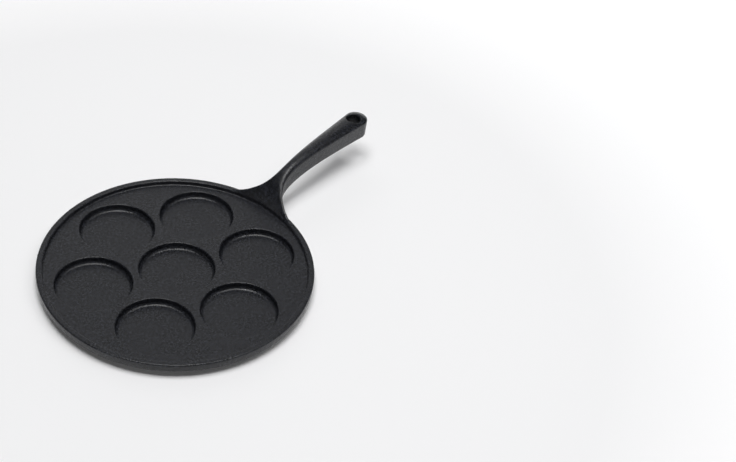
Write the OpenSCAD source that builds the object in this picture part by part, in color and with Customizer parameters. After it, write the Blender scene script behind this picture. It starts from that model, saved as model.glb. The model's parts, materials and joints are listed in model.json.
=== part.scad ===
// Cast-iron pancake pan: a flat round plate with seven shallow round wells, a low rim,
// a six-lobed base pad and one long rising handle with a hanging hole.
// The origin is the centre of the face it stands on; the handle runs along +X; +Z is up.

/* [Disc] */
// Outside diameter over the rim
disc_d = 250; // [210:1:300]
// Thickness of the plate between the wells
plate_t = 4.2; // [3.2:0.1:6]
// Height of the rim above the plate
rim_h = 4; // [3:0.1:8]
// Width of the rim's level top band
rim_w = 5.6; // [4.4:0.1:8]
// Taper of the rim's outer wall towards its bottom
rim_draft = 0.4; // [0.2:0.1:1.2]
// Rounding of the rim's edges
rim_edge_r = 0.8; // [0.4:0.1:1.2]
// Fillet between the rim and the plate
rim_foot_r = 1.4; // [0.8:0.1:2.4]

/* [Wells] */
// Level iron between two neighbouring wells
well_gap = 7.4; // [5:0.1:12]
// Level iron between the outer wells and the rim's fillet
rim_gap = 6.9; // [5:0.1:12]
// Depth of each well below the plate's top
well_depth = 6.3; // [5.2:0.1:12]
// Fillet between a well's wall and its floor
well_foot_r = 2; // [1:0.1:3]
// Taper of a well's wall towards its floor
well_draft = 0.4; // [0.1:0.1:1]
// Rounding of a well's top edge
well_edge_r = 0.9; // [0.4:0.1:1.4]

/* [Base pad] */
// Thickness of iron under a well
floor_t = 4.3; // [3:0.1:7]
// Wall around an outer well at the pad's bottom
pad_wall = 6.7; // [5:0.1:7.5]
// Radius of the hollows between the lobes
valley_r = 24.9; // [20:0.1:30]
// Taper of the pad's wall towards its bottom
pad_draft = 0.7; // [0.2:0.1:1]
// Fillet between the pad and the plate
pad_foot_r = 1.6; // [0.8:0.1:2]
// Rounding of the pad's bottom edge
pad_edge_r = 1.2; // [0.5:0.1:1.8]
// Diameter of the shallow recess under the centre
recess_d = 44.4; // [30:0.2:60]
// Depth of that recess
recess_depth = 0.7; // [0.3:0.1:1.5]

/* [Handle] */
// Length from the rim's outside to the handle's end
handle_l = 143; // [120:1:190]
// Height of the handle's side edge above the rim, once it has levelled out
handle_rise = 32.8; // [20:0.1:45]
// Length over which the side edge climbs
rise_len = 20.4; // [16:0.1:30]
// Height of the handle's underside above its own root, before it falls away
belly_rise = 28.3; // [14:0.1:32]
// Length over which the underside climbs
belly_len = 34.1; // [22:0.1:44]
// Fall of the underside towards the end, per millimetre of length
belly_fall = 0.05; // [0:0.005:0.08]
// Step from the plate's underside up to the handle's root
root_step = 0.9; // [0.8:0.1:2]
// Width at the neck
neck_w = 6.8; // [6:0.1:14]
// Width at the grip's end
grip_w = 23.1; // [20:0.1:32]
// Extra width of the web on each side where it leaves the rim
web_flare = 16; // [8:0.1:20]
// Length over which the web narrows into the neck
web_len = 9.5; // [6:0.1:14]
// Height of the crowned top above the side edge
crown_h = 3.4; // [2:0.1:6]
// Share of the grip's width left at its underside
belly_share = 0.95; // [0.6:0.01:1]
// Rounding of the underside's edges
belly_r = 3.2; // [2:0.1:5]

/* [Hanging hole] */
// Diameter of the hanging hole
hole_d = 14.2; // [8:0.1:16]
// Rounding of the hole's upper lip
hole_lip_r = 1.8; // [0.8:0.1:2.5]
// Rounding of the hole's lower edge
hole_edge_r = 0.8; // [0.3:0.1:1.2]
// Iron between the hole and the handle's end, at the side edge
hole_wall = 9; // [7:0.1:16]

/* [Hidden] */

$fn = 120;
cut = 1;                  // how far a cutter reaches past the face it opens
arc_n = 6;                // chords in a quarter round
well_n = 6;               // outer wells, and lobes of the pad

z_floor = floor_t;
z_plate = floor_t + well_depth;
z_under = z_plate - plate_t;
z_rim = z_plate + rim_h;

disc_r = disc_d / 2;
rim_in_r = disc_r - rim_w;
rim_foot_at = rim_in_r - rim_draft / 2 - rim_foot_r;
// Three wells and their gaps fill the plate from fillet to fillet.
well_d = (2 * rim_foot_at - 2 * well_gap - 2 * rim_gap) / 3;
well_ring_r = well_d + well_gap;
well_r = well_d / 2;
lobe_r = well_r + pad_wall;

// The hollow between two lobes is a circle that touches both lobe circles.
half_pitch = 180 / well_n;
touch_r = lobe_r + valley_r;
valley_at = well_ring_r * cos(half_pitch)
    + sqrt(pow(touch_r, 2) - pow(well_ring_r * sin(half_pitch), 2));
valley_ease = 0.02;       // keeps the two walls from touching along a bare line

// Points of an arc about a centre, from angle a0 to a1.
function arc(c, r, a0, a1, n = arc_n) =
    [for (i = [0 : n]) c + r * [cos(a0 + (a1 - a0) * i / n), sin(a0 + (a1 - a0) * i / n)]];

module at_wells() {
    children();
    for (i = [0 : well_n - 1])
        rotate((i + 0.5) * 2 * half_pitch)
            translate([well_ring_r, 0, 0])
                children();
}

// Everything that one well takes away, from its floor up.
module well_cut() {
    foot = well_r - well_draft;
    rotate_extrude()
        polygon(concat(
            [[0, z_floor]],
            arc([foot - well_foot_r, z_floor + well_foot_r], well_foot_r, -90, 0),
            arc([well_r + well_edge_r, z_plate - well_edge_r], well_edge_r, 180, 90),
            [[well_r + well_edge_r, z_plate + cut], [0, z_plate + cut]]
        ));
}

module well_plate() {
    color("#3a3a3e")
    difference() {
        translate([0, 0, z_under])
            cylinder(r = rim_foot_at, h = plate_t);
        at_wells()
            well_cut();
    }
}

// The rim's outside from its bottom edge to its top band, shared by the rim and the handle's root.
function rim_outside() = concat(
    arc([disc_r - rim_draft - rim_edge_r, z_under + rim_edge_r], rim_edge_r, -90, 0),
    arc([disc_r - rim_edge_r, z_rim - rim_edge_r], rim_edge_r, 0, 90),
    arc([rim_in_r + rim_edge_r, z_rim - rim_edge_r], rim_edge_r, 90, 180)
);

module rim() {
    color("#3a3a3e")
    rotate_extrude()
        polygon(concat(
            [[rim_foot_at, z_under]],
            rim_outside(),
            arc([rim_foot_at, z_plate + rim_foot_r], rim_foot_r, 0, -90)
        ));
}

// Half outline of the pad's wall, bottom to top: how far it stands out from the lobe radius.
function pad_wall_line() = concat(
    arc([-pad_edge_r, pad_edge_r], pad_edge_r, -90, 0),
    arc([pad_draft + pad_foot_r, z_under - pad_foot_r], pad_foot_r, 180, 90)
);

module lobe() {
    rotate_extrude()
        polygon(concat(
            [[0, 0]],
            [for (p = pad_wall_line()) [lobe_r + p[0], p[1]]],
            [[0, z_under]]
        ));
}

module valley_cut() {
    line = pad_wall_line();
    last = len(line) - 1;
    r = valley_r - valley_ease;
    rotate_extrude()
        polygon(concat(
            [[0, -cut], [r - line[0][0], -cut]],
            [for (p = line) [r - p[0], p[1]]],
            [[r - line[last][0], z_under + cut], [0, z_under + cut]]
        ));
}

module pad_web() {
    corners = [for (i = [0 : 2 * well_n - 1])
        let (a = i * half_pitch, r = i % 2 == 0 ? valley_at : well_ring_r)
            r * [cos(a), sin(a)]];
    difference() {
        linear_extrude(z_under)
            polygon(corners);
        for (i = [0 : well_n - 1])
            rotate(i * 2 * half_pitch)
                translate([valley_at, 0, 0])
                    valley_cut();
    }
}

module base_pad() {
    color("#4a4b4f")
    difference() {
        union() {
            pad_web();
            for (i = [0 : well_n - 1])
                rotate((i + 0.5) * 2 * half_pitch)
                    translate([well_ring_r, 0, 0])
                        lobe();
        }
        at_wells()
            well_cut();
        translate([0, 0, -cut])
            cylinder(d = recess_d, h = cut + recess_depth);
    }
}

// The handle is one loft through rings of points: upright sections along X, then the last
// section turned about an upright axis for the rounded end.
grip_r = grip_w / 2;
end_x = disc_r + handle_l;
turn_x = end_x - grip_r;              // where the rounded end begins
hole_r = hole_d / 2;
hole_x = end_x - hole_wall - hole_r;
start_x = rim_in_r - 7.4;             // hidden inside the rim
// How far inside the rim the climb is followed back: it stays inside the plate.
sink = rise_len * ln(1 + (z_rim - z_under - 1.2) / handle_rise);
root_z = z_under + root_step;
station_n = 36;
turn_n = 8;
top_n = 14;
belly_n = 5;
ring_n = top_n + 1 + 2 * belly_n + 3;
crown_start = 0.3;                    // crown height at the rim
crown_len = 14;
crown_power = 2.5;                    // larger is flatter with a quicker edge
crown_power_web = 6;
belly_sag = 0.6;                      // how much lower the underside is along its middle

function climb(d) = handle_rise * (1 - exp(-max(d, -sink) / rise_len));
function fade(x, len) = exp(-max(0, x - rim_in_r) / len);
function half_w(x) =
    let (k = (x - disc_r) / (turn_x - disc_r),
         w = neck_w / 2 + k * (grip_w - neck_w) / 2
             + web_flare * exp(-(x - disc_r) / web_len) * (1 - max(0, k)))
    x < rim_in_r ? min(w, sqrt(pow(disc_r - 1, 2) - x * x)) : w;
function side_z(x) = z_rim + climb(x - rim_in_r);
function belly_z(x) =
    root_z + belly_rise * (1 - fade(x, belly_len)) - belly_fall * max(0, x - rim_in_r);
function crown_at(x) = crown_start + (crown_h - crown_start) * (1 - fade(x, crown_len));
function power_at(x) = crown_power + (crown_power_web - crown_power) * fade(x, crown_len);
// Height of the top at a place: it leaves the rim along its inner edge and falls to the side edge.
function top_z(x, y) =
    let (v = min(1, abs(y) / half_w(x)),
         web = z_rim + climb(norm([x, y]) - rim_in_r) - side_z(x),
         grow = min(1, (x - start_x) / 3))
    side_z(x) + (crown_at(x) + grow * web) * (1 - pow(v, power_at(x)));
// The lower half of a section, from under the side edge at +Y to the middle of the underside.
function lower_half(x) =
    let (along = (x - rim_in_r) / (turn_x - rim_in_r),
         bw = half_w(x) * min(1, 1 - (1 - belly_share) * along),
         low = belly_z(x),
         rr = min(belly_r, 0.35 * (side_z(x) - low), 0.45 * bw))
    concat(arc([bw - rr, low + rr], rr, 0, -90, belly_n), [[0, low - belly_sag]]);

function section(x) =
    let (low = lower_half(x))
    concat(
        [for (i = [0 : top_n])
            let (y = half_w(x) * sin(90 * (1 - 2 * i / top_n))) [x, y, top_z(x, y)]],
        [for (i = [0 : belly_n]) [x, -low[i][0], low[i][1]]],
        [for (i = [belly_n + 1 : -1 : 0]) [x, low[i][0], low[i][1]]]
    );
function turned(ring, a) =
    [for (p = ring) [p[0] + abs(p[1]) * sin(a), p[1] * cos(a), p[2]]];
function station(i) = start_x + (turn_x - start_x) * pow(i / station_n, 1.7);

// The two points on the middle line stay where they are while the end turns about them.
mid_top = top_n / 2;
ring_last = station_n + turn_n;
function point_no(i, j) =
    let (k = (j + ring_n) % ring_n)
    (i > station_n && (k - mid_top) % (ring_n / 2) == 0 ? station_n : i) * ring_n + k;
function distinct(f) = f[0] != f[1] && f[1] != f[2] && f[2] != f[0];
function cap(i) = [for (s = [0 : ring_n / 2 - 1], f = [
    [point_no(i, mid_top - s), point_no(i, mid_top - s - 1), point_no(i, mid_top + s + 1)],
    [point_no(i, mid_top - s), point_no(i, mid_top + s + 1), point_no(i, mid_top + s)]
]) if (distinct(f)) f];

module shank() {
    grip_end = section(turn_x);
    rings = concat(
        [for (i = [0 : station_n]) section(station(i))],
        [for (i = [1 : turn_n]) turned(grip_end, 180 * i / (2 * turn_n + 1))]
    );
    sides = [for (i = [0 : ring_last - 1], j = [0 : ring_n - 1], f = [
        [point_no(i, j), point_no(i + 1, j + 1), point_no(i, j + 1)],
        [point_no(i, j), point_no(i + 1, j), point_no(i + 1, j + 1)]
    ]) if (distinct(f)) f];
    polyhedron(
        points = [for (ring = rings) each ring],
        faces = concat(
            [for (f = cap(0)) [f[2], f[1], f[0]]],
            sides,
            cap(ring_last)
        )
    );
}

module hanging_hole() {
    low = belly_z(hole_x);
    mouth = side_z(hole_x) + 0.9 * crown_h;
    translate([hole_x, 0, 0])
        rotate_extrude()
            polygon(concat(
                [[0, low - belly_sag - cut], [hole_r + hole_edge_r, low - belly_sag - cut]],
                arc([hole_r + hole_edge_r, low + hole_edge_r], hole_edge_r, -90, -180),
                arc([hole_r + hole_lip_r, mouth - hole_lip_r], hole_lip_r, 180, 90),
                [[hole_r + hole_lip_r, mouth + cut], [0, mouth + cut]]
            ));
}

// What the disc and the open tray inside its rim keep clear of the handle.
module disc_space() {
    rotate_extrude()
        polygon(concat(
            [[0, z_under]],
            rim_outside(),
            [[rim_in_r, z_rim + handle_rise], [0, z_rim + handle_rise]]
        ));
}

module handle() {
    color("#47474a")
    difference() {
        shank();
        disc_space();
        hanging_hole();
    }
}

well_plate();
rim();
base_pad();
handle();
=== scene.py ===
import json
import math

import bmesh
import bpy
from mathutils import Matrix, Vector

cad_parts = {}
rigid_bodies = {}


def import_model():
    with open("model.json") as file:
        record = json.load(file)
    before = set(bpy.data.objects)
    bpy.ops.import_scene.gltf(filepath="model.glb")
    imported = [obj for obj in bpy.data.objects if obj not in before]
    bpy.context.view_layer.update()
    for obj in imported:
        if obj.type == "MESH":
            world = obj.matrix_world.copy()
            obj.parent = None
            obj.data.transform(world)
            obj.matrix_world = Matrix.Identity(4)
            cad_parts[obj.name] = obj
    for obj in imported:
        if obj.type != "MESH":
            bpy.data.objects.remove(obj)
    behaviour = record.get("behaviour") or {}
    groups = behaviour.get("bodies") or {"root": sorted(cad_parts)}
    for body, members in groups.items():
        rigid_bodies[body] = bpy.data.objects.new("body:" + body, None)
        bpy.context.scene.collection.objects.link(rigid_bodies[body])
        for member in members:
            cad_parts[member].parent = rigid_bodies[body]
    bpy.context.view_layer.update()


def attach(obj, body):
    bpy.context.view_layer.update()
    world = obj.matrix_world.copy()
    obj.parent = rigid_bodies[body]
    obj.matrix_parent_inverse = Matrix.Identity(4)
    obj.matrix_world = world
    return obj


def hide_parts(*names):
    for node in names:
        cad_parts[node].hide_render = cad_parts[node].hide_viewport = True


bl_info = {
    "name": "Cast iron pancake pan",
    "version": (1, 0, 0),
    "blender": (4, 5, 0),
    "location": "View3D > Sidebar > Pancake pan",
    "description": "A flat cast iron pan with seven shallow wells, a low rim, a lobed pad "
                   "and a rising handle",
    "category": "Object",
}

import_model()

MM = 0.001
WELD = 0.002 * MM          # points nearer than this are one point
FLAT = 0.001 * MM          # heights nearer than this are one level
LEDGE = 0.4 * MM           # level strip beside a rounded edge, which keeps the flat ground flat
SEAM = 0.01 * MM           # from a well's fillet out to the seam of plate and pad
RECESS_EDGE = 0.3 * MM     # rounding of the edges of the pad's recess

WELLS = 6                  # outer wells, and lobes of the pad
PITCH = math.pi / WELLS    # half the turn from one outer well to the next

# Steps of the round forms
ROUND_STEPS = 8            # along a rounded edge
FOOT_STEPS = 10            # along the fillet at a well's foot
BRINK_STEPS = 4            # along the recess's small edges
SEAT_STEPS = 6             # along the rim's edge where the handle's root sits on it
LIP_STEPS = 8              # along the hanging hole's upper lip
WELL_STEPS = 96            # once round a well, the recess or the hanging hole
PLATE_STEPS = 192          # once round the plate's edge
RIM_STEPS = 256            # once round the rim
LOBE_STEPS = 28            # round one lobe of the pad
HOLLOW_STEPS = 16          # round the hollow between two lobes

# Steps of the handle
STATIONS = 90              # sections along the handle
CROWDING = 1.6             # power that brings the sections closer together at the root
END_STEPS = 24             # sections round the grip's end
TOP_POINTS = 40            # steps across the handle's top

# Degrees between two faces, past which their edge stays sharp
SHARP_FROM = 34.0
HANDLE_SHARP_FROM = 42.0   # for the handle, with its tighter roundings

# Patterns on the iron, in cells to the metre
GRAIN = 480.0              # casting sand, 2.1 mm a cell, coarser than real so that it shows
SWELL = 150.0              # slow unevenness of the mould's face, 6.7 mm a cell
PATCH = 38.0               # thin and thick patches of the coat, 26 mm a cell
GRAIN_DEPTH = 0.32 * MM
SWELL_DEPTH = 0.35 * MM

# The studio, in metres and as strengths of white light
GROUND_WIDTH = 12.0
WHITE = 1.0
NEAR_LIFT = 0.05           # even light on the ground near the pan
LIFT_FROM = 0.4            # distance from the middle at which that light begins to rise
LIFT_FULL = 1.6            # distance at which it is white
BACKDROP_TOP = 0.12        # top of the white backdrop, as the sine of its angle over the horizon
ROOM_FROM = 0.2            # where the backdrop has faded into the room, as a sine too
DIM = 0.02                 # light of the room
AWAY = math.radians(32.8)  # level direction from the camera over the pan

# Each lamp's turn from that direction and its elevation in degrees, its distance and size in
# metres, and its power in watts
LAMPS = {
    "top_softbox": (180.0, 86.0, 3.0, (1.5, 1.5), 68.0),
    "high_panel": (0.0, 62.0, 2.0, (1.0, 0.8), 1.0),
    "back_panel": (18.0, 38.0, 2.0, (1.4, 0.9), 3.1),
    "low_panel": (0.0, 14.0, 2.0, (1.6, 0.6), 2.0),
    "side_panel": (-90.0, 58.0, 2.0, (0.8, 0.8), 5.5),
}


# Sizes and colours a user may change

def length(name, about, value):
    return bpy.props.FloatProperty(
        name=name, description=about, default=value, min=0.0, max=1.0, precision=5,
        subtype="DISTANCE", unit="LENGTH",
    )


def share(name, about, value):
    return bpy.props.FloatProperty(
        name=name, description=about, default=value, min=0.0, max=1.0, subtype="FACTOR",
    )


def shade(name, about, value):
    return bpy.props.StringProperty(name=name, description=about, default=value)


class DiscSizes(bpy.types.PropertyGroup):
    """Plate, rim and wells"""
    outer_r: length("Radius", "Radius over the rim", 0.125)
    plate_t: length("Plate", "Thickness of the plate between the wells", 0.0042)
    rim_h: length("Rim height", "Height of the rim above the plate", 0.004)
    rim_w: length("Rim width", "Width of the rim's level band", 0.0056)
    rim_draft: length("Rim draft", "Taper of the rim's outer wall", 0.0004)
    rim_edge: length("Rim edge", "Rounding of the rim's edges", 0.0013)
    rim_foot: length("Rim foot", "Fillet where the rim meets the plate", 0.0014)
    well_gap: length("Well gap", "Level iron between two neighbouring wells", 0.0074)
    rim_gap: length("Rim gap", "Level iron between the outer wells and the rim's fillet", 0.0069)
    well_depth: length("Well depth", "Depth of a well", 0.0063)
    well_foot: length("Well foot", "Fillet between a well's wall and floor", 0.0030)
    well_draft: length("Well draft", "Taper of a well's wall", 0.0004)
    well_edge: length("Well edge", "Rounding of a well's top edge", 0.0010)


class PadSizes(bpy.types.PropertyGroup):
    """The lobed pad under the wells"""
    floor_t: length("Floor", "Iron under a well", 0.0043)
    wall: length("Wall", "Iron round an outer well at the pad's bottom", 0.0067)
    valley_r: length("Hollow", "Radius of the hollows between the lobes", 0.0249)
    draft: length("Draft", "Taper of the pad's wall", 0.0007)
    foot: length("Foot", "Fillet where the pad meets the plate", 0.0016)
    edge: length("Edge", "Rounding of the pad's bottom edge", 0.0012)
    recess_r: length("Recess", "Radius of the recess in the middle", 0.0222)
    recess_depth: length("Recess depth", "Depth of that recess", 0.0007)


class HandleSizes(bpy.types.PropertyGroup):
    """The web, the neck and the grip"""
    reach: length("Reach", "From the rim's outside to the handle's end", 0.143)
    rise: length("Rise", "Height of the side edge above the rim", 0.0328)
    rise_len: length("Rise length", "Length over which the side edge climbs", 0.0204)
    belly_rise: length("Belly rise", "Height of the underside above its root", 0.0283)
    belly_len: length("Belly length", "Length over which the underside climbs", 0.0341)
    belly_fall: share("Belly fall", "Fall of the underside along the grip", 0.05)
    root_step: length("Root step", "Step from the plate's underside to the root", 0.0009)
    neck_w: length("Neck", "Width at the neck", 0.0068)
    grip_w: length("Grip", "Width at the grip's end", 0.0231)
    web_flare: length("Web flare", "Extra width of the web on each side", 0.016)
    web_len: length("Web length", "Length over which the web narrows", 0.0095)
    crown: length("Crown", "Height of the crowned top above the side edge", 0.0034)
    belly_share: share("Belly width", "Share of the width left at the underside", 0.95)
    belly_r: length("Belly edge", "Rounding of the underside's edges", 0.0032)
    crease_r: length("Crease", "Rounding of the side edge", 0.0011)
    hole_r: length("Hole", "Radius of the hanging hole", 0.0071)
    hole_lip: length("Hole lip", "Rounding of the hole's upper lip", 0.0018)
    hole_wall: length("Hole wall", "Iron between the hole and the end", 0.009)


class IronLook(bpy.types.PropertyGroup):
    """Colours and surface of the iron, and the ground it stands on"""
    iron: shade("Iron", "Colour of the seasoned iron", "0F1013")
    iron_worn: shade("Worn iron", "Colour where the coat is thin", "33353C")
    ground: shade("Ground", "Colour of the ground", "F4F4F5")
    gloss: share("Roughness", "Roughness of the seasoned coat", 0.25)


# Shaping helpers

def sizes():
    scene = bpy.context.scene
    return scene.pan_disc, scene.pan_pad, scene.pan_handle


def levels():
    """Heights of the well floor, the plate's underside, the plate and the rim."""
    disc, pad, _ = sizes()
    floor = pad.floor_t
    plate = floor + disc.well_depth
    return floor, plate - disc.plate_t, plate, plate + disc.rim_h


def plate_radius():
    """Radius of the plate, out to where the rim's foot fillet begins."""
    disc, _, _ = sizes()
    return disc.outer_r - disc.rim_w - disc.rim_draft / 2 - disc.rim_foot


def well_places():
    """Radius of the wells at the plate, and the distance of the outer ones from the middle."""
    disc, _, _ = sizes()
    across = (2 * plate_radius() - 2 * disc.well_gap - 2 * disc.rim_gap) / 3
    return across / 2, across + disc.well_gap


def polar(r, angle):
    """A level place, from its distance and angle."""
    return Vector((r * math.cos(angle), r * math.sin(angle), 0.0))


def turn_between(a, b):
    """Angle from one level direction to another, counter-clockwise."""
    return b.xy.angle_signed(a.xy)


def arc(cx, cz, r, start, end, steps=ROUND_STEPS):
    """Points of an arc in the upright plane, angles in degrees."""
    turn = [math.radians(start + (end - start) * i / steps) for i in range(steps + 1)]
    return [(cx + r * math.cos(t), cz + r * math.sin(t)) for t in turn]


def circle(cx, r):
    """Points round an upright axis on the handle's middle line."""
    turn = [2 * math.pi * i / WELL_STEPS for i in range(WELL_STEPS)]
    return [(cx + r * math.cos(t), r * math.sin(t)) for t in turn]


def take(piece):
    """Makes the piece the active object and the only one selected."""
    bpy.ops.object.select_all(action="DESELECT")
    piece.select_set(True)
    bpy.context.view_layer.objects.active = piece


def open_piece(name):
    """A new empty piece at the origin, open for editing, with nothing else selected."""
    if bpy.context.mode != "OBJECT":
        bpy.ops.object.mode_set(mode="OBJECT")
    bpy.ops.object.select_all(action="DESELECT")
    bpy.ops.object.add(type="MESH", location=(0.0, 0.0, 0.0))
    piece = bpy.context.object
    piece.name = name
    piece.data.name = name
    bpy.ops.object.mode_set(mode="EDIT")
    bpy.context.tool_settings.mesh_select_mode = (True, True, True)
    return piece


def select_where(piece, test):
    """Selects the points whose place passes the test."""
    bpy.ops.mesh.select_all(action="DESELECT")
    mesh = bmesh.from_edit_mesh(piece.data)
    for v in mesh.verts:
        v.select_set(test(v.co))
    mesh.select_flush_mode()
    bmesh.update_edit_mesh(piece.data)


def select_edges(piece, test):
    """Selects the edges that pass the test."""
    bpy.ops.mesh.select_all(action="DESELECT")
    mesh = bmesh.from_edit_mesh(piece.data)
    for e in mesh.edges:
        if test(e):
            e.select_set(True)
    bmesh.update_edit_mesh(piece.data)


def draw_line(points):
    """A chain of edges through the points, with its last point left selected."""
    bpy.ops.mesh.select_all(action="DESELECT")
    bpy.ops.mesh.primitive_plane_add(size=MM, location=points[0])
    bpy.ops.mesh.merge(type="CENTER")
    for here, there in zip(points, points[1:]):
        step = Vector(there) - Vector(here)
        bpy.ops.mesh.extrude_region_move(TRANSFORM_OT_translate={"value": tuple(step)})


def sweep_selected(steps, centre, angle, dupli=False):
    """Sweeps the selection about an upright axis; without a window spin turns clockwise."""
    bpy.ops.mesh.spin(
        steps=steps, angle=-angle, center=tuple(centre), axis=(0.0, 0.0, 1.0), dupli=dupli)


def turn_line(points, steps=WELL_STEPS):
    """Draws an outline, given as radius and height, turns it once round the middle and welds it."""
    draw_line([(r, 0.0, z) for r, z in points])
    bpy.ops.mesh.select_linked(delimit=set())
    sweep_selected(steps, Vector(), 2 * math.pi)
    bpy.ops.mesh.select_all(action="SELECT")
    bpy.ops.mesh.remove_doubles(threshold=WELD)


def copy_outwards(piece, ring, test):
    """Copies the points of the middle well, which pass the test, to the outer wells."""
    for k in range(WELLS):
        select_where(piece, test)
        there = polar(ring, (2 * k + 1) * PITCH)
        bpy.ops.mesh.duplicate_move(TRANSFORM_OT_translate={"value": tuple(there)})


def fill_level(piece, z):
    """Fills the flat ground between all open edges that lie at one height."""
    select_edges(piece, lambda e: e.is_boundary and all(abs(v.co.z - z) < FLAT for v in e.verts))
    bpy.ops.mesh.fill(use_beauty=True)


def lay_rings(piece, rings):
    """Extrudes a ring of points step by step, lays each ring on its places, closes the first."""
    count = len(rings[0])
    bpy.ops.mesh.primitive_circle_add(vertices=count, radius=MM, fill_type="NOTHING")
    for i, places in enumerate(rings):
        if i:
            bpy.ops.mesh.extrude_region_move()
        mesh = bmesh.from_edit_mesh(piece.data)
        mesh.verts.ensure_lookup_table()
        for v, place in zip(mesh.verts[-count:], places):
            v.co = place
        bmesh.update_edit_mesh(piece.data)
    mesh = bmesh.from_edit_mesh(piece.data)
    mesh.verts.ensure_lookup_table()
    first = set(mesh.verts[:count])
    for v in mesh.verts:
        v.select_set(v in first)
    mesh.select_flush_mode()
    bmesh.update_edit_mesh(piece.data)
    bpy.ops.mesh.edge_face_add()


def close_piece(piece, sharp_from=SHARP_FROM):
    """Welds the seams, turns all faces outwards and smooths all but the true edges."""
    bpy.ops.mesh.select_all(action="SELECT")
    bpy.ops.mesh.remove_doubles(threshold=WELD)
    bpy.ops.mesh.delete_loose(use_verts=True, use_edges=True, use_faces=False)
    bpy.ops.mesh.select_all(action="SELECT")
    bpy.ops.mesh.normals_make_consistent(inside=False)
    bpy.ops.object.mode_set(mode="OBJECT")
    take(piece)
    bpy.ops.object.shade_smooth_by_angle(angle=math.radians(sharp_from))


def cut(piece, tool):
    """Takes the tool's form out of the piece and removes the tool."""
    take(piece)
    taken = piece.modifiers.new("Cut", "BOOLEAN")
    taken.operation = "DIFFERENCE"
    taken.solver = "EXACT"
    taken.object = tool
    bpy.ops.object.modifier_apply(modifier=taken.name)
    bpy.data.objects.remove(tool, do_unlink=True)


def dress(piece, *nodes):
    """Gives the piece its iron and its place in the frame."""
    piece.data.materials.clear()
    piece.data.materials.append(seasoned_iron())
    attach(piece, "root")
    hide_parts(*nodes)


# Materials

def srgb(code):
    """Linear colour from an sRGB hex value."""
    parts = [int(code[i:i + 2], 16) / 255 for i in (0, 2, 4)]
    line = [c / 12.92 if c <= 0.04045 else ((c + 0.055) / 1.055) ** 2.4 for c in parts]
    return (*line, 1.0)


def empty_tree(owner):
    """The node tree of a new material or world, with nothing in it yet."""
    owner.use_nodes = True
    owner.node_tree.nodes.clear()
    return owner.node_tree


def node(tree, kind, settings=None, links=None):
    """Adds a node, sets its properties and inputs, and links outputs of others into it."""
    made = tree.nodes.new(kind)
    for key, value in (settings or {}).items():
        if isinstance(key, int) or key in made.inputs:
            made.inputs[key].default_value = value
        else:
            setattr(made, key, value)
    for key, source in (links or {}).items():
        tree.links.new(source, made.inputs[key])
    return made


def seasoned_iron():
    """Sand-cast iron with a baked-on matt black oil coat.

    The casting sand leaves a fine even grain and slow, shallow unevenness, and the coat gives
    a soft grey sheen that is broken up by both.
    """
    found = bpy.data.materials.get("Seasoned sand-cast iron")
    if found:
        return found
    look = bpy.context.scene.pan_look
    made = bpy.data.materials.new("Seasoned sand-cast iron")
    tree = empty_tree(made)
    place = node(tree, "ShaderNodeTexCoord").outputs["Object"]
    grain = node(tree, "ShaderNodeTexNoise",
                 {"Scale": GRAIN, "Detail": 5.0, "Roughness": 0.72}, {"Vector": place})
    swell = node(tree, "ShaderNodeTexNoise",
                 {"Scale": SWELL, "Detail": 2.0, "Roughness": 0.5}, {"Vector": place})
    patch = node(tree, "ShaderNodeTexNoise",
                 {"Scale": PATCH, "Detail": 4.0, "Roughness": 0.55}, {"Vector": place})
    # The coat is thinnest, and paler, on the tips of the grain
    tone = node(tree, "ShaderNodeValToRGB", None, {"Fac": grain.outputs["Fac"]})
    hollow, tip = tone.color_ramp.elements
    hollow.position = 0.45
    hollow.color = srgb(look.iron)
    tip.position = 0.66
    tip.color = srgb(look.iron_worn)
    # Rubbed tips and thick patches shine a little more than the hollows of the grain
    rubbed = node(tree, "ShaderNodeMath", {"operation": "MULTIPLY"},
                  {0: grain.outputs["Fac"], 1: patch.outputs["Fac"]})
    dull, shiny = look.gloss + 0.10, look.gloss - 0.08
    sheen = node(tree, "ShaderNodeMapRange",
                 {"From Min": 0.15, "From Max": 0.36, "To Min": dull, "To Max": shiny},
                 {"Value": rubbed.outputs[0]})
    slow = node(tree, "ShaderNodeBump", {"Strength": 0.5, "Distance": SWELL_DEPTH},
                {"Height": swell.outputs["Fac"]})
    fine = node(tree, "ShaderNodeBump", {"Strength": 1.0, "Distance": GRAIN_DEPTH},
                {"Height": grain.outputs["Fac"], "Normal": slow.outputs["Normal"]})
    skin = node(tree, "ShaderNodeBsdfPrincipled", {"Metallic": 0.0, "IOR": 1.42},
                {"Base Color": tone.outputs["Color"], "Roughness": sheen.outputs["Result"],
                 "Normal": fine.outputs["Normal"]})
    node(tree, "ShaderNodeOutputMaterial", None, {"Surface": skin.outputs["BSDF"]})
    return made


def shown_rays(tree):
    """Socket that is 1 for rays that show a background: straight, mirrored or through glass."""
    path = node(tree, "ShaderNodeLightPath")
    mirrored = node(tree, "ShaderNodeMath", {"operation": "MAXIMUM"},
                    {0: path.outputs["Is Camera Ray"], 1: path.outputs["Is Glossy Ray"]})
    through = node(tree, "ShaderNodeMath", {"operation": "MAXIMUM"},
                   {0: mirrored.outputs[0], 1: path.outputs["Is Transmission Ray"]})
    return through.outputs[0]


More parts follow.
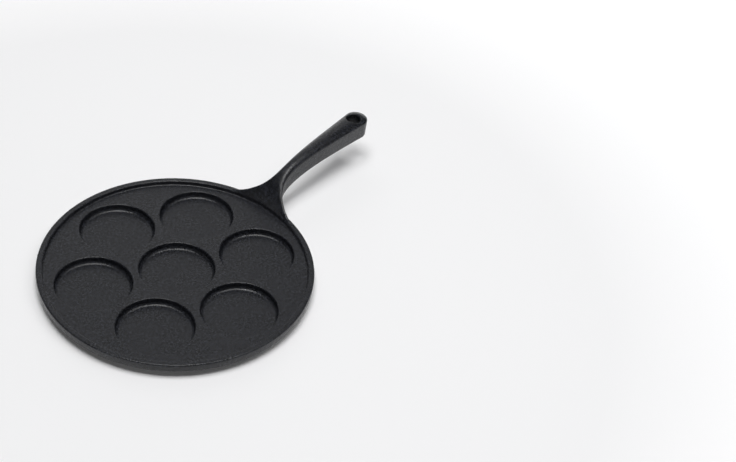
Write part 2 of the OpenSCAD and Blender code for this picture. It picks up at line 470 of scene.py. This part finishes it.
def studio_ground():
    """White painted studio ground, which keeps the object's soft shadow."""
    look = bpy.context.scene.pan_look
    made = bpy.data.materials.new("White studio ground")
    tree = empty_tree(made)
    paint = node(tree, "ShaderNodeBsdfDiffuse", {"Color": srgb(look.ground)})
    # A trace of even light near the pan, and full white where the lamps no longer reach
    place = node(tree, "ShaderNodeTexCoord").outputs["Object"]
    away = node(tree, "ShaderNodeVectorMath", {"operation": "LENGTH"}, {0: place})
    reach = node(tree, "ShaderNodeMapRange",
                 {"From Min": LIFT_FROM, "From Max": LIFT_FULL,
                  "To Min": NEAR_LIFT, "To Max": WHITE},
                 {"Value": away.outputs["Value"]})
    lift = node(tree, "ShaderNodeEmission", {"Color": (1.0, 1.0, 1.0, 1.0)},
                {"Strength": reach.outputs["Result"]})
    both = node(tree, "ShaderNodeAddShader", None, {0: paint.outputs[0], 1: lift.outputs[0]})
    seen = node(tree, "ShaderNodeMixShader", None,
                {"Fac": shown_rays(tree), 1: paint.outputs[0], 2: both.outputs[0]})
    node(tree, "ShaderNodeOutputMaterial", None, {"Surface": seen.outputs[0]})
    return made


def studio_room():
    """A low white backdrop round the ground and a dim room above it, the same for every ray."""
    made = bpy.data.worlds.new("Studio")
    tree = empty_tree(made)
    way = node(tree, "ShaderNodeSeparateXYZ", None,
               {"Vector": node(tree, "ShaderNodeTexCoord").outputs["Generated"]})
    height = node(tree, "ShaderNodeMapRange",
                  {"From Min": BACKDROP_TOP, "From Max": ROOM_FROM,
                   "To Min": WHITE, "To Max": DIM},
                  {"Value": way.outputs["Z"]})
    room = node(tree, "ShaderNodeBackground", {"Color": (1.0, 1.0, 1.0, 1.0)},
                {"Strength": height.outputs["Result"]})
    node(tree, "ShaderNodeOutputWorld", None, {"Surface": room.outputs[0]})
    return made


# Pieces

class PAN_OT_plate(bpy.types.Operator):
    """Casts the flat plate with the walls of its seven wells"""
    bl_idname = "pan.plate"
    bl_label = "Plate with wells"

    def execute(self, context):
        disc, _, _ = sizes()
        _, under, top, _ = levels()
        well_r, ring = well_places()
        edge_r = well_r + disc.well_edge
        rim_r = plate_radius()
        piece = open_piece("iron_plate")
        wall = [(well_r - disc.well_draft + SEAM, under)]
        wall += arc(edge_r, top - disc.well_edge, disc.well_edge, 180, 90)
        wall += [(edge_r + LEDGE, top)]
        turn_line(wall)
        copy_outwards(piece, ring, lambda p: p.xy.length < edge_r + 2 * LEDGE)
        turn_line([(rim_r - LEDGE, top), (rim_r, top), (rim_r, under)], steps=PLATE_STEPS)
        fill_level(piece, top)
        fill_level(piece, under)
        close_piece(piece)
        dress(piece, "well_plate")
        return {"FINISHED"}


class PAN_OT_rim(bpy.types.Operator):
    """Casts the low rim with its foot fillet and level band"""
    bl_idname = "pan.rim"
    bl_label = "Rim"

    def execute(self, context):
        disc, _, _ = sizes()
        _, under, top, crest = levels()
        inner = disc.outer_r - disc.rim_w
        foot_at = plate_radius()
        bottom_r = disc.outer_r - disc.rim_draft - disc.rim_edge
        e = disc.rim_edge
        piece = open_piece("iron_rim")
        outline = [(foot_at, top), (foot_at, under), (bottom_r - LEDGE, under)]
        outline += arc(bottom_r, under + e, e, -90, 0)
        outline += arc(disc.outer_r - e, crest - e, e, 0, 90)
        outline += [(disc.outer_r - e - LEDGE, crest), (inner + e + LEDGE, crest)]
        outline += arc(inner + e, crest - e, e, 90, 180)
        outline += arc(foot_at, top + disc.rim_foot, disc.rim_foot, 0, -90)
        turn_line(outline, steps=RIM_STEPS)
        close_piece(piece)
        dress(piece, "rim")
        return {"FINISHED"}


class PAN_OT_pad(bpy.types.Operator):
    """Casts the six-lobed pad with the wells' floors and the recess in its middle"""
    bl_idname = "pan.pad"
    bl_label = "Base pad"

    def execute(self, context):
        disc, pad, _ = sizes()
        floor, under, _, _ = levels()
        well_r, ring = well_places()
        piece = open_piece("iron_pad")
        self.lobed_wall(well_r + pad.wall, ring, under)
        # Floors of the wells, with the fillet that runs up to the plate
        foot_r = well_r - disc.well_draft
        f = disc.well_foot
        pocket = [(foot_r + SEAM, under)]
        pocket += arc(foot_r - f, floor + f, f, 0, -90, FOOT_STEPS)
        pocket += [(foot_r - f - LEDGE, floor)]
        turn_line(pocket)
        copy_outwards(piece, ring, lambda p: p.xy.length < foot_r + LEDGE and p.z > floor / 2)
        # The shallow recess
        r, d, e = pad.recess_r, pad.recess_depth, RECESS_EDGE
        brink = [(r + e + LEDGE, 0.0)] + arc(r + e, e, e, -90, -180, BRINK_STEPS)
        brink += arc(r - e, d - e, e, 0, 90, BRINK_STEPS) + [(r - e - LEDGE, d)]
        turn_line(brink)
        for level in (0.0, under, floor, d):
            fill_level(piece, level)
        close_piece(piece)
        dress(piece, "base_pad")
        return {"FINISHED"}

    def lobed_wall(self, lobe_r, ring, under):
        """One lobe and the hollow after it, swept about their own centres and copied round."""
        _, pad, _ = sizes()
        reach = lobe_r + pad.valley_r
        valley_at = ring * math.cos(PITCH) + math.sqrt(reach ** 2 - (ring * math.sin(PITCH)) ** 2)
        lobe = polar(ring, PITCH)
        before = polar(valley_at, 0.0)
        after = polar(valley_at, 2 * PITCH)
        start = (before - lobe).normalized()
        wall = [(-pad.edge - LEDGE, 0.0)]
        wall += arc(-pad.edge, pad.edge, pad.edge, -90, 0)
        wall += arc(pad.draft + pad.foot, under - pad.foot, pad.foot, 180, 90)
        draw_line([lobe + start * (lobe_r + out) + Vector((0, 0, z)) for out, z in wall])
        bpy.ops.mesh.select_linked(delimit=set())
        next_lobe = polar(ring, 3 * PITCH)
        sweep_selected(LOBE_STEPS, lobe, turn_between(start, after - lobe))
        sweep_selected(HOLLOW_STEPS, after, turn_between(lobe - after, next_lobe - after))
        bpy.ops.mesh.select_all(action="SELECT")
        last = 2 * math.pi * (WELLS - 1) / WELLS
        sweep_selected(WELLS - 1, Vector(), last, dupli=True)


class HandleLine:
    """The handle's cross-sections along X, as the casting's pattern has them."""
    ROOT_LAP = 7.4 * MM        # the root starts this far inside the rim's band, before it is cut
    ROOT_T = 1.2 * MM          # iron left at that start
    ROOT_INSET = 1.0 * MM      # the root's sides stay this far inside the disc's edge
    WEB_START = 3.0 * MM       # length over which the web begins to follow the rim's round edge
    FILLET = 0.8 * MM          # softness of the fillet on the rim's level band
    DIP = 1.0 * MM             # depth under the band from which the top begins to fall
    SKIN = 0.06 * MM           # the run-out ends this far under the band
    ROLL = 0.6 * MM            # height and reach of the roll over the band's inner edge
    ROOT_CROWN = 0.3 * MM      # crown of the top at the root
    CROWN_LEN = 14.0 * MM      # length over which the crown and its curve grow
    CURVE = 2.5                # power of the curve across the grip's top
    FLATTER = 3.5              # added to that power at the web
    SAG = 0.6 * MM             # the underside's middle hangs this far under its edges
    CREASE_PARTS = (0.17, 0.34, 0.5, 0.66, 0.83, 1.0)   # points along the rolled side edge
    WALL_PARTS = (0.25, 0.5, 0.75)                      # points down the side
    BELLY_PARTS = (0.66, 0.33)                          # points across half the underside

    def __init__(self):
        disc, _, h = sizes()
        _, self.under, _, self.crest = levels()
        self.h = h
        self.outer = disc.outer_r
        self.inner = disc.outer_r - disc.rim_w
        self.turn = self.outer + h.reach - h.grip_w / 2
        self.start = self.inner - self.ROOT_LAP
        self.hole = self.outer + h.reach - h.hole_wall - h.hole_r
        drop = self.crest - self.under - self.ROOT_T
        self.sink = h.rise_len * math.log(1 + drop / h.rise)

    def fade(self, x, span):
        return math.exp(-max(0.0, x - self.inner) / span)

    def climb(self, d):
        return self.h.rise * (1 - math.exp(-max(d, -self.sink) / self.h.rise_len))

    def half_width(self, x):
        h = self.h
        k = (x - self.outer) / (self.turn - self.outer)
        w = h.neck_w / 2 + k * (h.grip_w - h.neck_w) / 2
        w += h.web_flare * math.exp(-(x - self.outer) / h.web_len) * (1 - max(0.0, k))
        if x < self.inner:
            w = min(w, math.sqrt((self.outer - self.ROOT_INSET) ** 2 - x * x))
        return w

    def side(self, x):
        return self.crest + self.climb(x - self.inner)

    def belly(self, x):
        h = self.h
        low = self.under + h.root_step + h.belly_rise * (1 - self.fade(x, h.belly_len))
        return low - h.belly_fall * max(0.0, x - self.inner)

    def settle(self, z, r):
        """Lets a height run out on the rim's level band in a fillet, and rolls its inner edge."""
        h = z - self.crest
        soft = 0.5 * (h + math.sqrt(h * h + self.FILLET ** 2)) - 0.5 * max(0.0, -h - self.DIP)
        roll = self.ROLL * math.exp(-max(0.0, r - self.inner) / self.ROLL)
        return self.crest + soft - self.SKIN - roll

    def top(self, x, y):
        """Height of the top at a place: it leaves the rim along the rim's inner edge."""
        root = self.fade(x, self.CROWN_LEN)
        v = min(1.0, abs(y) / self.half_width(x))
        crown = self.ROOT_CROWN + (self.h.crown - self.ROOT_CROWN) * (1 - root)
        power = self.CURVE + self.FLATTER * root
        r = math.hypot(x, y)
        web = self.crest + self.climb(r - self.inner) - self.side(x)
        grow = min(1.0, (x - self.start) / self.WEB_START)
        return self.settle(self.side(x) + (crown + grow * web) * (1 - v ** power), r)

    def grip_top(self, x, y):
        """Height of the top at a place on the grip, also round its rounded end."""
        out = max(0.0, x - self.turn)
        return self.top(min(x, self.turn), math.hypot(out, y))

    def section(self, x):
        """One closed ring of points, from the +Y side edge over the top and back underneath."""
        h = self.h
        w = self.half_width(x)
        low = self.belly(x)
        side = self.settle(self.side(x), math.hypot(x, w))
        tall = side - low
        # Both roundings shrink where the section is too small for them
        e = min(h.crease_r, 0.2 * w, 0.3 * tall)
        ring = []
        for i in range(TOP_POINTS + 1):
            y = (w - e) * math.sin(math.pi / 2 * (1 - 2 * i / TOP_POINTS))
            ring.append((y, self.top(x, y)))
        along = (x - self.inner) / (self.turn - self.inner)
        bw = w * min(1.0, 1 - (1 - h.belly_share) * along)
        r = min(h.belly_r, 0.35 * tall, 0.45 * bw)
        # The side edge is rolled between the top and the wall
        first = Vector((w - e, self.top(x, w - e)))
        edge = Vector((w, side))
        foot = Vector((bw, low + r))
        last = edge.lerp(foot, e / (tall - r))
        crease = [first.lerp(edge, t).lerp(edge.lerp(last, t), t) for t in self.CREASE_PARTS]
        wall = [last.lerp(foot, t) for t in self.WALL_PARTS]
        corner = arc(bw - r, low + r, r, 0, -90)
        middle = [((bw - r) * t, low - self.SAG * (1 - t * t)) for t in self.BELLY_PARTS]
        half = [tuple(p) for p in crease + wall] + corner + middle
        ring += [(-y, z) for y, z in half] + [(0.0, low - self.SAG)]
        ring += [(y, z) for y, z in reversed(half)]
        return ring


class PAN_OT_handle(bpy.types.Operator):
    """Casts the web, neck and grip as one swept form and bores the hanging hole"""
    bl_idname = "pan.handle"
    bl_label = "Handle"

    def execute(self, context):
        line = HandleLine()
        piece = open_piece("iron_handle")
        rings = []
        for i in range(STATIONS + 1):
            x = line.start + (line.turn - line.start) * (i / STATIONS) ** CROWDING
            rings.append([(x, y, z) for y, z in line.section(x)])
        grip_end = line.section(line.turn)
        for i in range(1, END_STEPS + 1):
            a = math.pi / 2 * i / END_STEPS
            rings.append([(line.turn + abs(y) * math.sin(a), y * math.cos(a), z)
                          for y, z in grip_end])
        lay_rings(piece, rings)
        close_piece(piece)
        self.cut_root(piece, line)
        self.bore_hole(piece, line)
        bpy.ops.object.mode_set(mode="EDIT")
        close_piece(piece, sharp_from=HANDLE_SHARP_FROM)
        dress(piece, "handle")
        return {"FINISHED"}

    def cut_root(self, piece, line):
        """Takes the open tray and the disc's own body out of the handle's root."""
        disc, _, _ = sizes()
        tool = open_piece("root_tool")
        sink = 0.3 * MM            # the root reaches this far into the rim
        e = disc.rim_edge
        high = line.crest + 50.0 * MM
        outline = [(0.0, line.under), (disc.outer_r - disc.rim_draft - sink, line.under)]
        outline += arc(disc.outer_r - e, line.crest - e, e - sink, 0, 90, SEAT_STEPS)
        outline += [(line.inner + sink, line.crest - sink), (line.inner, line.crest - e)]
        outline += [(line.inner, high), (0.0, high)]
        turn_line(outline, steps=RIM_STEPS)
        close_piece(tool)
        cut(piece, tool)

    def bore_hole(self, piece, line):
        """Bores the hanging hole with a tool whose upper lip follows the crowned top."""
        h = line.h
        tool = open_piece("hole_tool")
        low = line.belly(line.hole)
        rings = []
        # The lower brink, in mm: how far it opens, and its height over the underside
        for out, up in ((0.6, -3.0), (0.6, 0.2), (0.3, 0.4), (0.0, 1.0)):
            places = circle(line.hole, h.hole_r + out * MM)
            rings.append([(x, y, low + up * MM) for x, y in places])
        # The upper lip, which meets the top 12 degrees short of level
        for k in range(LIP_STEPS + 1):
            t = math.radians(78.0 * k / LIP_STEPS)
            places = circle(line.hole, h.hole_r + h.hole_lip * (1 - math.cos(t)))
            drop = h.hole_lip * (1 - math.sin(t))
            rings.append([(x, y, line.grip_top(x, y) - drop) for x, y in places])
        # The tool stands 2 mm out of the top
        places = circle(line.hole, h.hole_r + h.hole_lip)
        rings.append([(x, y, line.grip_top(x, y) + 2.0 * MM) for x, y in places])
        lay_rings(tool, rings)
        select_edges(tool, lambda e: e.is_boundary)
        bpy.ops.mesh.edge_face_add()
        close_piece(tool)
        cut(piece, tool)


class PAN_OT_stage(bpy.types.Operator):
    """Lays the ground, hangs the lamps and sets the camera"""
    bl_idname = "pan.stage"
    bl_label = "Stage"

    def execute(self, context):
        scene = context.scene
        bpy.ops.object.select_all(action="DESELECT")
        bpy.ops.mesh.primitive_plane_add(size=GROUND_WIDTH, location=(0.0, 0.0, 0.0))
        ground = context.object
        ground.name = "ground"
        ground.data.materials.append(studio_ground())
        self.camera(scene)
        scene.world = studio_room()
        for name, setting in LAMPS.items():
            self.panel(scene, name, *setting)
        scene.view_settings.view_transform = "Standard"
        return {"FINISHED"}

    def camera(self, scene):
        """Sets the camera, fitted to the wells' edges, the rim and the handle in the photograph."""
        right = Vector((0.61393, -0.78197, 0.10786))
        up = Vector((0.46564, 0.46910, 0.75039))
        back = Vector((-0.63737, -0.41046, 0.65210))
        half_pixel = 0.46 * MM     # at the pan's distance
        place = Vector((-0.6872, -0.6417, 0.8825)) - right * half_pixel + up * half_pixel
        lens = bpy.data.cameras.new("camera")
        lens.sensor_fit = "HORIZONTAL"
        lens.sensor_width = 36.0
        lens.lens = 68.43
        lens.clip_end = 50.0
        seen = bpy.data.objects.new("camera", lens)
        scene.collection.objects.link(seen)
        turn = Matrix((right, up, back)).transposed().to_4x4()
        seen.matrix_world = Matrix.Translation(place) @ turn
        scene.camera = seen

    def panel(self, scene, name, turn, elevation, distance, size, power):
        """Hangs a soft lamp that faces the pan."""
        lamp = bpy.data.lights.new(name, "AREA")
        lamp.shape = "RECTANGLE"
        lamp.size, lamp.size_y = size
        lamp.energy = power
        hung = bpy.data.objects.new(name, lamp)
        a = AWAY + math.radians(turn)
        e = math.radians(elevation)
        way = Vector((math.cos(e) * math.cos(a), math.cos(e) * math.sin(a), math.sin(e)))
        hung.location = way * distance
        hung.rotation_euler = way.to_track_quat("Z", "Y").to_euler()
        scene.collection.objects.link(hung)


class PAN_PT_panel(bpy.types.Panel):
    """Sizes, colours and steps of the pan"""
    bl_label = "Pancake pan"
    bl_idname = "PAN_PT_panel"
    bl_space_type = "VIEW_3D"
    bl_region_type = "UI"
    bl_category = "Pancake pan"

    def draw(self, context):
        scene = context.scene
        for group in (scene.pan_disc, scene.pan_pad, scene.pan_handle, scene.pan_look):
            box = self.layout.box()
            box.label(text=type(group).__doc__)
            for key in type(group).__annotations__:
                box.prop(group, key)
        for step in STEPS:
            self.layout.operator(step.bl_idname)


STEPS = (PAN_OT_plate, PAN_OT_rim, PAN_OT_pad, PAN_OT_handle, PAN_OT_stage)
GROUPS = {
    "pan_disc": DiscSizes,
    "pan_pad": PadSizes,
    "pan_handle": HandleSizes,
    "pan_look": IronLook,
}


def register():
    for made in (*GROUPS.values(), *STEPS, PAN_PT_panel):
        bpy.utils.register_class(made)
    for name, group in GROUPS.items():
        setattr(bpy.types.Scene, name, bpy.props.PointerProperty(type=group))


def unregister():
    for name in GROUPS:
        delattr(bpy.types.Scene, name)
    for made in reversed((*GROUPS.values(), *STEPS, PAN_PT_panel)):
        bpy.utils.unregister_class(made)


def main():
    register()
    bpy.ops.pan.plate()
    bpy.ops.pan.rim()
    bpy.ops.pan.pad()
    bpy.ops.pan.handle()
    bpy.ops.pan.stage()


if __name__ == "__main__":
    main()
